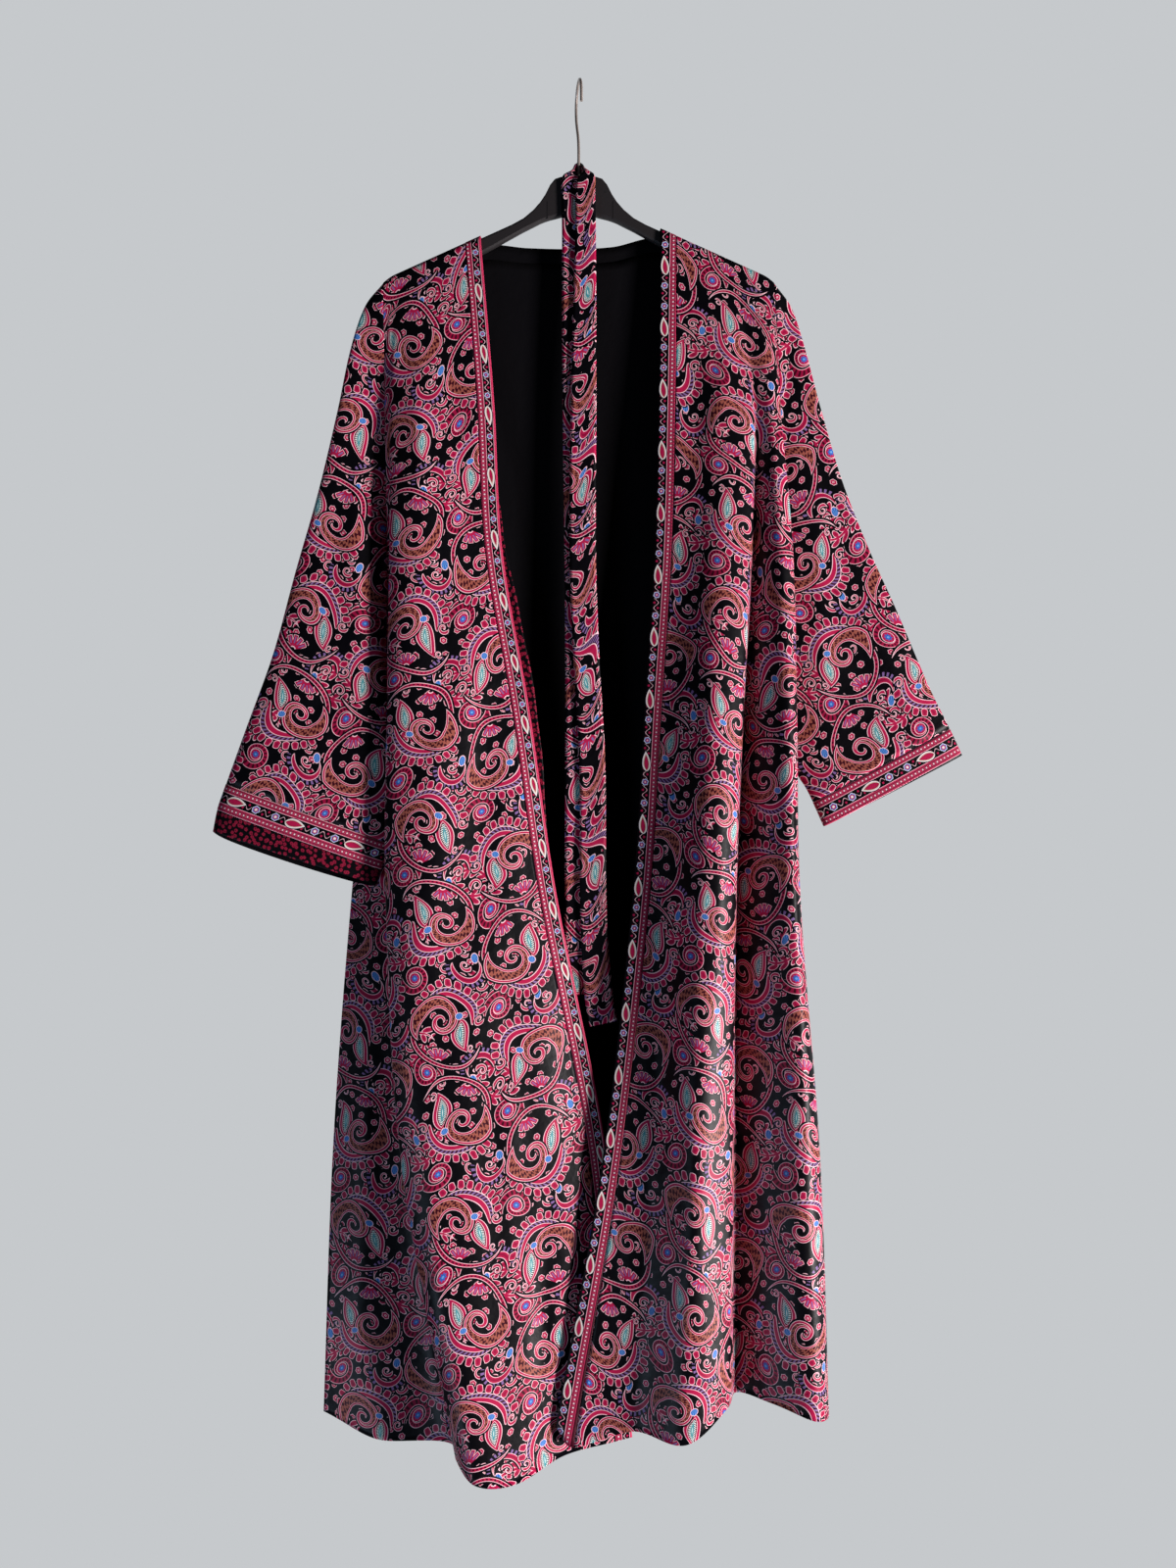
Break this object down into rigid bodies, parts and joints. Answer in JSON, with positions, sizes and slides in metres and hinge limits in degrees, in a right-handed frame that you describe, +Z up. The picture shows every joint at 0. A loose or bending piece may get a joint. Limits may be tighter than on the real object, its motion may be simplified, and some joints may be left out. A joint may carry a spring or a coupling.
{
  "type": "kimono robe with belt on a clothes hanger",
  "caption": "Open-front kimono robe in paisley-printed satin with wide sleeves, bordered front edges and cuffs and a tie belt hung behind the hook, on a plastic hanger with a wire hook.",
  "frame": {"origin": "inside of the hook's top, on the middle plane of the hanger, where a rail or nail carries it", "axes": "+Z up, +X towards the wearer's left, -Y the side that the front of the robe faces"},
  "size_m": [0.7578, 0.1054, 1.4074],
  "materials": {
    "printed_cloth": "satin woven print",
    "border_cloth": "satin woven print",
    "black_cloth": "matt woven",
    "facing_cloth": "satin woven print",
    "hanger_plastic": "moulded, satin",
    "hook_wire": "plated wire"
  },
  "bodies": {
    "root": {"back": "printed_cloth", "back_lining": "black_cloth", "front_right": "printed_cloth", "front_left": "printed_cloth", "band_right": "border_cloth", "band_left": "border_cloth", "facing_right": "facing_cloth", "sleeve_right": "printed_cloth", "sleeve_left": "printed_cloth", "cuff_right": "border_cloth", "cuff_left": "border_cloth", "cuff_facing_right": "facing_cloth", "belt": "printed_cloth", "hanger": "hanger_plastic", "hook": "hook_wire"}
  },
  "joints": []
}
